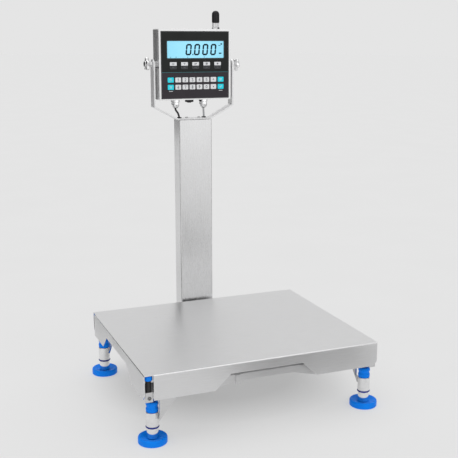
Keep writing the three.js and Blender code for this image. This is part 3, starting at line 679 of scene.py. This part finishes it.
def key_prints():
    for name in KEYS:
        low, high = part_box(name)
        middle = ((low.x + high.x) / 2, (low.z + high.z) / 2)
        body = body_of(name)
        front = low.y
        if "function" in name:
            label = bmesh.new()
            top = high.z - 0.4 * MM
            rounded = round_corners(low.x + 0.35 * MM, high.x - 0.35 * MM, top - 9.2 * MM, top, 0.9 * MM)
            patch(label, rounded, front)
            printed(f"{name}_label", label, KEY_WHITE, body)
            sign = bmesh.new()
            mark(sign, KEY_MARKS[name], (middle[0], top - 4.6 * MM), 6 * MM, 4.6 * MM, 0.8 * MM, front - PRINT)
            printed(f"{name}_sign", sign, INK_DARK, body)
            trim = bmesh.new()
            outline = round_corners(
                low.x + 0.8 * MM, high.x - 0.8 * MM, low.z + 0.8 * MM, top - 9.8 * MM, 1 * MM)
            stroke(trim, [*outline, outline[0]], 0.28 * MM, front)
            caption = [(middle[0] + side * 2.4 * MM, middle[1] - 5 * MM) for side in (-1, 1)]
            stroke(trim, caption, 0.9 * MM, front)
            printed(f"{name}_trim", trim, INK_TRIM, body)
            continue
        sign = bmesh.new()
        if "blue" in name:
            mark(sign, KEY_MARKS[name], middle, 6.4 * MM, 6.4 * MM, 1 * MM, front)
            printed(f"{name}_sign", sign, INK_WHITE, body)
        else:
            mark(sign, KEY_MARKS[name], middle, 4.4 * MM, 7 * MM, 1 * MM, front)
            printed(f"{name}_sign", sign, INK_DARK, body)


SEGMENTS = [  # a zero: each segment is a slim hexagon between two corners of a 1 by 2 grid
    ((0, 2), (1, 2)), ((1, 1), (1, 2)), ((1, 0), (1, 1)), ((0, 0), (1, 0)), ((0, 0), (0, 1)), ((0, 1), (0, 2)),
]


def display_print():
    """Four seven-segment digits that read 0.000, and the small indicators round them."""
    low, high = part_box("lcd_display")
    front = low.y
    slant = math.tan(math.radians(5.8))
    width, height, line = 12.2 * MM, 13 * MM, 4.5 * MM
    base = high.z - 35.6 * MM
    lit = bmesh.new()
    for left in (53.4, 77.4, 101.2, 124.6):
        x0 = low.x + left * MM
        for ends in SEGMENTS:
            a, b = (Vector((x0 + u * width + v * height * slant, base + v * height)) for u, v in ends)
            ahead = (b - a).normalized()
            side = Vector((-ahead.y, ahead.x)) * line / 2
            a, b = a + ahead * 0.5 * MM, b - ahead * 0.5 * MM
            point = ahead * line / 2
            outline = [a - point * 0.35, a + point * 0.55 - side, b - point * 0.55 - side, b + point * 0.35,
                       b - point * 0.55 + side, a + point * 0.55 + side]
            patch(lit, outline, front)
    dot = low.x + 71.4 * MM
    patch(lit, round_corners(dot, dot + 3 * MM, base - 1.6 * MM, base + 1.6 * MM, 0.5 * MM), front)
    for x, z, w, h in ((153, 6, 5, 3.4), (148, 31, 8, 3.2), (147, 11, 6, 1.6)):
        x0, z0 = low.x + x * MM, high.z - z * MM
        patch(lit, round_corners(x0, x0 + w * MM, z0 - h * MM, z0, 0.3 * MM), front)
    for x in (7, 23, 56, 104):
        x0, z0 = low.x + x * MM, low.z + 3.4 * MM
        patch(lit, [(x0, z0), (x0 + 3.6 * MM, z0), (x0 + 1.8 * MM, z0 - 2.2 * MM)], front)
    printed("display_digits", lit, INK_DISPLAY, "head")


def panel_print():
    """The teal divider, the display's printed border and small caption bars."""
    low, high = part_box("keypad_panel")
    lcd_low, lcd_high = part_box("lcd_display")
    front = low.y
    z = centre("upper_key_1").z + DIVIDER_RISE
    line = bmesh.new()
    stroke(line, [(low.x + 1.2 * MM, z), (high.x - 1.2 * MM, z)], 0.9 * MM, front)
    printed("panel_divider", line, INK_TEAL, "head")
    captions = bmesh.new()
    for key in ("lower_left_blue_key", "lower_right_blue_key"):
        middle, under = centre(key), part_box(key)[0].z - 4 * MM
        stroke(captions, [(middle.x - 4.5 * MM, under), (middle.x + 4.5 * MM, under)], 1.3 * MM, front)
    printed("panel_captions", captions, INK_WHITE, "head")
    border = bmesh.new()
    outline = round_corners(lcd_low.x - 1.6 * MM, lcd_high.x + 1.6 * MM, lcd_low.z - 1.6 * MM,
                            lcd_high.z + 1.6 * MM, 2.4 * MM)
    stroke(border, [*outline, outline[0]], 0.5 * MM, front)
    edge = round_corners(low.x + 1.4 * MM, high.x - 1.4 * MM, low.z + 1.4 * MM, high.z - 1.4 * MM, 3 * MM)
    stroke(border, [*edge, edge[0]], 0.35 * MM, front)
    printed("panel_border", border, INK_TRIM, "head")


key_prints()
display_print()
panel_print()


# ---- knobs, glands, vent plug, antenna, inlet -----------------------------------------------------
def lobed(r, _h, angle):
    """Five rounded lobes on the wide part of a knob."""
    if r < 10 * MM:
        return r
    depth = 3.4 * MM * min(1, (r - 9 * MM) / (6 * MM))
    return r - depth * (1 - math.cos(5 * angle)) / 1.15


def knob(side):
    """A polished star knob, moulded over a thin neck with a washer against the yoke."""
    name = f"knob_{side}"
    low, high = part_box(name)
    middle = centre(name)
    sign = 1 if side == "right" else -1
    seat = low.x if side == "right" else high.x
    profile = fillet(rings([
        (0, 0.2), (7, 0.2), (7, 1.6), (5.2, 2), (5.2, 6), (8.6, 9), (16.6, 9.6), (18.5, 11), (18.5, 17),
        (17, 18.4), (11, 19), (8, 21.6), (5, 22.3), (0, 22.4),
    ]), 1.2 * MM, 4)
    shape = turned(bmesh.new(), profile, (seat, middle.y, middle.z), (sign, 0, 0), 120, lobed)
    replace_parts(piece(f"star_{name}", shape, CHROME, name), name)


def gland(side):
    """A cable gland: lock nut, hexagon body, domed cap with flats and a rubber insert."""
    name = f"cable_gland_{side}"
    middle, top = centre(name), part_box(name)[1].z
    at = (middle.x, middle.y, top)
    wide = hexagon(23.6 * MM)
    cap = hexagon(20.6 * MM)

    def outline(r, h, angle):
        if h < 6.1 * MM:
            return wide(r, h, angle)
        return cap(r, h, angle) if h < 13 * MM else r

    profile = fillet(rings([
        (3.6, 0), (12.4, 0), (12.9, 0.8), (12.9, 5.2), (12.4, 6), (10.4, 6.2), (10.4, 7), (11.6, 7.2),
        (11.6, 12.8), (10.8, 14), (9.8, 18), (8, 21), (6.4, 21.6), (3.6, 21.6),
    ]), 0.4 * MM)
    body = turned(bmesh.new(), profile, at, (0, 0, -1), 72, outline)
    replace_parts(piece(f"gland_{side}", body, CHROME, "head"), name)
    seal = turned(bmesh.new(), fillet(rings([
        (3.0, 21), (6.2, 21), (5.4, 22.8), (3.0, 22.9), (3.0, 21)]), 0.5 * MM), at, (0, 0, -1), 48)
    piece(f"gland_seal_{side}", seal, RUBBER, "head")


def knurled(depth, count):
    """An outline for turned() with fine grooves round it."""
    def outline(r, _h, angle):
        return r - depth * (1 + math.cos(count * angle)) / 2
    return outline


def vent_plug():
    name = "vent_plug"
    middle, top = centre(name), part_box(name)[1].z
    profile = fillet(rings([
        (0, 0), (11.8, 0), (12, 1), (12, 5.6), (11, 6.8), (6, 7), (5.6, 8.6), (0, 8.8)]), 0.5 * MM)
    shape = turned(bmesh.new(), profile, (middle.x, middle.y, top), (0, 0, -1), 96, knurled(0.4 * MM, 24))
    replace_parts(piece("vented_cap", shape, BLACK_GLOSS, "head"), name)


def antenna():
    name = "antenna"
    middle, low = centre(name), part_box(name)[0].z
    at = (middle.x, middle.y, low)
    nut = turned(bmesh.new(), fillet(rings([
        (0, 0), (10.8, 0), (11, 0.8), (11, 3.6), (9.6, 4.2), (0, 4.2)]), 0.4 * MM), at, (0, 0, 1), 72,
        hexagon(20 * MM))
    piece("antenna_nut", nut, CHROME, "head")
    base = turned(bmesh.new(), fillet(rings([
        (0, 4.2), (9, 4.2), (9.4, 5), (9.4, 15.6), (8.6, 16.6), (0, 16.6)]), 0.4 * MM), at, (0, 0, 1), 96,
        knurled(0.5 * MM, 32))
    piece("antenna_ferrule", base, CHROME, "head")
    whip = turned(bmesh.new(), fillet(rings([
        (0, 16.6), (9.6, 16.6), (10.4, 18), (10.4, 39), (9.4, 43.6), (6.6, 47), (3, 48.6), (0, 48.8)]),
        1.2 * MM, 4), at, (0, 0, 1), 64)
    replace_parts(piece("antenna_whip", whip, BLACK_GLOSS, "head"), name)


def power_inlet():
    name = "power_inlet"
    middle, front = centre(name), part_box(name)[0].y
    at = (middle.x, front, middle.z)
    profile = fillet(rings([
        (3.4, 0), (12, 0), (12, 4.6), (10.2, 5.2), (10.2, 6), (10, 14.6), (9, 16), (8.6, 21.6), (7.6, 22),
        (4.6, 22), (4.2, 16), (3.4, 16)]), 0.5 * MM)

    def outline(r, h, angle):
        return hexagon(22.4 * MM)(r, h, angle) if h < 5 * MM else r

    shape = turned(bmesh.new(), profile, at, (0, 1, 0), 72, outline)
    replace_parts(piece("inlet_socket", shape, BLACK_GLOSS, "base"), name)
    pins = bmesh.new()
    for i in range(3):
        angle = math.radians(90 + 120 * i)
        place = (at[0] + 2.4 * MM * math.cos(angle), front + 8 * MM, at[2] + 2.4 * MM * math.sin(angle))
        turned(pins, rings([(0, 0), (0.6, 0), (0.6, 10), (0.3, 10.6), (0, 10.7)]), place, (0, 1, 0), 12)
    piece("inlet_pins", pins, BRASS, "base")


for side_name in ("left", "right"):
    knob(side_name)
    gland(side_name)
vent_plug()
antenna()
power_inlet()


# ---- fasteners, seams and welds -------------------------------------------------------------------
def fasteners():
    yoke_low, yoke_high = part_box("yoke")
    column_low, column_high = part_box("column")
    shell_low, shell_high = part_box("indicator_rear_shell")
    bracket_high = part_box("column_bracket")[1]
    mid_x = (column_low.x + column_high.x) / 2
    mid_y = (yoke_low.y + yoke_high.y) / 2
    for i, dx in enumerate((-18 * MM, 18 * MM)):
        top = column_high.z + 4.4 * MM
        screw(f"yoke_bolt_{i}", (mid_x + dx, mid_y, top), (0, 0, 1), 4.6 * MM, "base")
    for i, (dx, dz) in enumerate([(u, v) for u in (-1, 1) for v in (-1, 1)]):
        x = (shell_low.x + shell_high.x) / 2 + dx * 90 * MM
        z = (shell_low.z + shell_high.z) / 2 + dz * 82 * MM
        screw(f"rear_cover_screw_{i}", (x, shell_high.y, z), (0, 1, 0), 4 * MM, "head")
    for i, (dx, z) in enumerate([(u, v) for u in (-30, 30) for v in (76, 146)]):
        at = (mid_x + dx * MM, bracket_high.y - 6 * MM, z * MM)
        screw(f"bracket_bolt_{i}", at, (0, -1, 0), 5 * MM, "base")
    for corner in CORNERS:
        sx = -1 if "left" in corner else 1
        sy = -1 if "front" in corner else 1
        stud = centre(f"bumper_{corner}")
        return_y = stud.y + sy * 7 * MM
        screw(f"tab_screw_{corner}", (stud.x - sx * 0.5 * MM, return_y, 0.1145), (0, sy, 0), 4.4 * MM, "base",
              SCREW_DARK)
    cell_low, cell_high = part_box("load_cell")
    for i, (dx, dy) in enumerate([(u, v) for u in (-12, 12) for v in (12, 36)]):
        at = ((cell_low.x + cell_high.x) / 2 + dx * MM, cell_high.y - dy * MM, 0.09)
        screw(f"cell_bolt_{i}", at, (0, 0, -1), 5 * MM, "base")


def welds():
    """Welded seams between the frame's cross members and its rails, seen from below."""
    pad = centre("foot_pad_front_right")
    rear = centre("foot_pad_rear_right")
    left = centre("foot_pad_front_left")
    bead = bmesh.new()
    for sx in (-1, 1):
        rail = (pad.x if sx > 0 else left.x) - sx * 41 * MM
        inner = rail - sx * 15 * MM
        for y, sy in ((pad.y, -1), (rear.y, 1)):
            inside = y - sy * 28 * MM
            line = [Vector((inner, y - sy * (1 + 26 * t / 14) * MM, 0.116)) for t in range(15)]
            tube(bead, line, 1.5 * MM, 8, 0.12)
            upright = [Vector((inner, inside, (117 + t) * MM)) for t in range(17)]
            tube(bead, upright, 1.5 * MM, 8, 0.12)
    piece("frame_welds", bead, STEEL_SCREW, "base", 60)


def gasket():
    """The rubber gasket in the seam between the indicator's front frame and rear shell."""
    shell_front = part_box("indicator_rear_shell")[0].y
    front_low, front_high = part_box("indicator_front_frame")
    seal = bmesh.new()
    outline = round_corners(front_low.x + 0.5 * MM, front_high.x - 0.5 * MM, front_low.z + 0.5 * MM,
                            front_high.z - 0.5 * MM, 2.6 * MM)
    inner = round_corners(front_low.x + 1.9 * MM, front_high.x - 1.9 * MM, front_low.z + 1.9 * MM,
                          front_high.z - 1.9 * MM, 1.4 * MM)
    y0, y1 = front_high.y - 0.2 * MM, shell_front + 0.2 * MM
    loops = [[seal.verts.new((x, y, z)) for x, z in line]
             for y, line in ((y0, outline), (y1, outline), (y1, inner), (y0, inner))]
    count = len(outline)
    for first, second in zip(loops, loops[1:] + loops[:1]):
        for i in range(count):
            j = (i + 1) % count
            seal.faces.new([first[i], first[j], second[j], second[i]])
    piece("housing_gasket", seal, RUBBER, "head")


fasteners()
welds()
gasket()


# ---- cables ---------------------------------------------------------------------------------------
def cable(name, side, entry_x, first_x, inside_route, material):
    """One cable, from its gland through the column's top and down inside the column."""
    gland_at = centre(f"cable_gland_{side}")
    gland_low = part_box(f"cable_gland_{side}")[0].z
    column_low, column_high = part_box("column")
    mid_x = (column_low.x + column_high.x) / 2
    mid_y = (column_low.y + column_high.y) / 2
    entry = mid_x + entry_x * MM
    above = gland_at.x * 0.3 + entry * 0.7
    top = column_high.z
    points = [
        (gland_at.x, mid_y, gland_low + 16 * MM), (gland_at.x, mid_y, gland_low + 8 * MM),
        (gland_at.x, mid_y, gland_low - 4 * MM), (above, mid_y, top + 17 * MM),
        (entry, mid_y, top + 5 * MM), (entry, mid_y, top - 11 * MM),
        (mid_x + first_x * MM, mid_y, top - 43 * MM),
        *[(mid_x + x * MM, mid_y + y * MM, z * MM) for x, y, z in inside_route],
    ]
    shape = tube(bmesh.new(), path_through(points, 8), 2.6 * MM, 16)
    made = piece(f"cable_{name}", shape, material, None, 60)
    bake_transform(made)
    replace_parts(made, f"{name}_cable")
    grommet = turned(bmesh.new(), fillet(rings([
        (3, -2.4), (4.7, -2.4), (4.7, 4.4), (6.8, 4.5), (6.8, 5.6), (5.4, 6.8), (3, 7), (3, -2.4)]), 0.6 * MM),
        (entry, mid_y, top), (0, 0, 1), 48)
    piece(f"grommet_{name}", grommet, RUBBER, "base")


cable("signal", "right", 32.5, 29.5, [
    (20, 2, 500), (10, 0, 300), (2, 2, 180), (0, -2, 145), (0, -12, 129), (0, -24, 124), (0, -34, 124),
    (0, -52, 124)], CABLE_GREY)
cable("supply", "left", -40, -34, [
    (-26, 6, 500), (-16, 8, 300), (-6, 8, 180), (-2, 4, 140), (0, 6, 122), (0, 14, 112), (0, 24, 112),
    (0, 34, 112)], CABLE_BLACK)


# ---- stage: floor, world and light ----------------------------------------------------------------
BACKGROUND = 0.783  # the world's radiance
FLOOR_GLOW = 0.505  # the floor's own light, and how much less of it there is under the platform: a painted shadow
FLOOR_PAINTED_SHADOW = 0.14


def sheet(name, corners, look):
    """A flat four-sided piece of the stage."""
    shape = bmesh.new()
    shape.faces.new([shape.verts.new(corner) for corner in corners])
    mesh = bpy.data.meshes.new(name)
    shape.to_mesh(mesh)
    shape.free()
    mesh.materials.append(look.material)
    made = bpy.data.objects.new(name, mesh)
    SCENE.collection.objects.link(made)
    return made


def make_floor():
    """A pale sweep that is mostly even in tone: it takes a soft shadow, and its own light also dims in a soft
    ellipse under the platform, a painted shadow.
    """
    look = Look("studio_floor", (0.34, 0.34, 0.34), 0.9, 0.0)
    look.set("Specular IOR Level", 0.0)
    mottle = look.noise(3, detail=3)
    look.tint(look.ranged(mottle, 0, 1), (0.285, 0.285, 0.285), (0.295, 0.295, 0.295))
    look.set("Emission Color", (1, 1, 1, 1))
    # painted shadow: the floor's own light is lowered in a soft ellipse under the platform
    painted_shadow_place = look.node("ShaderNodeMapping", {
        "Vector": look.place, "Location": (-0.08, -0.17, 0), "Scale": (1 / 0.36, 1 / 0.3, 0)})
    distance = look.node("ShaderNodeVectorMath", {0: painted_shadow_place.outputs["Vector"]}, operation="LENGTH")
    glow_less_painted_shadow = look.ranged(distance.outputs["Value"], FLOOR_GLOW - FLOOR_PAINTED_SHADOW, FLOOR_GLOW, 0.55, 1.03)
    look.tree.links.new(glow_less_painted_shadow, look.shader.inputs["Emission Strength"])
    sheet("studio_floor", [(-30, -3.2, 0), (30, -3.2, 0), (30, 60, 0), (-30, 60, 0)], look)


def make_flags():
    """Grey and black cards that no camera sees, and the steel reflects as soft dark patches."""
    cards = {  # tone, then corners
        "floor_flag": (0.2, [(0.05, -1.25, 0.01), (0.5, -1.25, 0.01), (0.46, -0.5, 0.01), (0.06, -0.5, 0.01)]),
        "left_flag": (0.05, [(-1.2, 0.1, 0.01), (-0.61, 0.1, 0.01), (-0.5, 1.1, 0.01), (-1.2, 1.1, 0.01)]),
        "side_flag": (0.02, [(-2.8, 1.6, 0.5), (-0.44, 1.6, 0.5), (-0.44, 1.6, 2), (-2.8, 1.6, 2)]),
        "left_stand": (0.03, [(-1.2, 0.3, 0), (-0.95, 0.78, 0), (-0.95, 0.78, 1.3), (-1.2, 0.3, 1.3)]),
        "right_stand": (0.03, [(1.2, -0.56, 0), (1.32, -0.06, 0), (1.32, -0.06, 1.3), (1.2, -0.56, 1.3)]),
    }
    for name, (tone, corners) in cards.items():
        look = Look(name, (tone, tone, tone), 0.9, 0.0)
        look.set("Specular IOR Level", 0.0)
        weave = look.noise(400, detail=2)
        look.tint(look.ranged(weave, 0, 1), (tone, tone, tone), (tone * 1.2, tone * 1.2, tone * 1.2))
        card = sheet(name, corners, look)
        card.visible_camera = card.visible_diffuse = card.visible_shadow = False


def make_world():
    """An even pale world with soft bright and dark fields in it, which the polished metal reflects."""
    world = bpy.data.worlds.new("studio")
    SCENE.world = world
    world.use_nodes = True
    tree = world.node_tree
    shine = tree.nodes["Background"]
    place = tree.nodes.new("ShaderNodeTexCoord").outputs["Generated"]
    fields = [  # azimuth from +Y towards +X, elevation, inner and outer radius in degrees, added radiance
        (0, 84, 15, 42, 0.75),
        (160, 5, 4, 15, 0.65),
        (-62, 10, 6, 30, -0.74),
        (104, 10, 6, 30, -0.74),
    ]
    total = None
    for azimuth, elevation, inner, outer, added in fields:
        a, e = math.radians(azimuth), math.radians(elevation)
        axis = (math.sin(a) * math.cos(e), math.cos(a) * math.cos(e), math.sin(e))
        dot = tree.nodes.new("ShaderNodeVectorMath")
        dot.operation = "DOT_PRODUCT"
        dot.inputs[1].default_value = axis
        tree.links.new(place, dot.inputs[0])
        soft = tree.nodes.new("ShaderNodeMapRange")
        soft.interpolation_type = "SMOOTHSTEP"
        soft.inputs["From Min"].default_value = math.cos(math.radians(outer))
        soft.inputs["From Max"].default_value = math.cos(math.radians(inner))
        soft.inputs["To Max"].default_value = added
        tree.links.new(dot.outputs["Value"], soft.inputs["Value"])
        add = tree.nodes.new("ShaderNodeMath")
        add.inputs[0].default_value = BACKGROUND
        if total:
            tree.links.new(total, add.inputs[0])
        tree.links.new(soft.outputs["Result"], add.inputs[1])
        total = add.outputs[0]
    path = tree.nodes.new("ShaderNodeLightPath")
    plain = tree.nodes.new("ShaderNodeMix")
    plain.inputs["B"].default_value = BACKGROUND
    tree.links.new(path.outputs["Is Camera Ray"], plain.inputs["Factor"])
    tree.links.new(total, plain.inputs["A"])
    tree.links.new(plain.outputs["Result"], shine.inputs["Color"])


make_floor()
make_flags()
make_world()
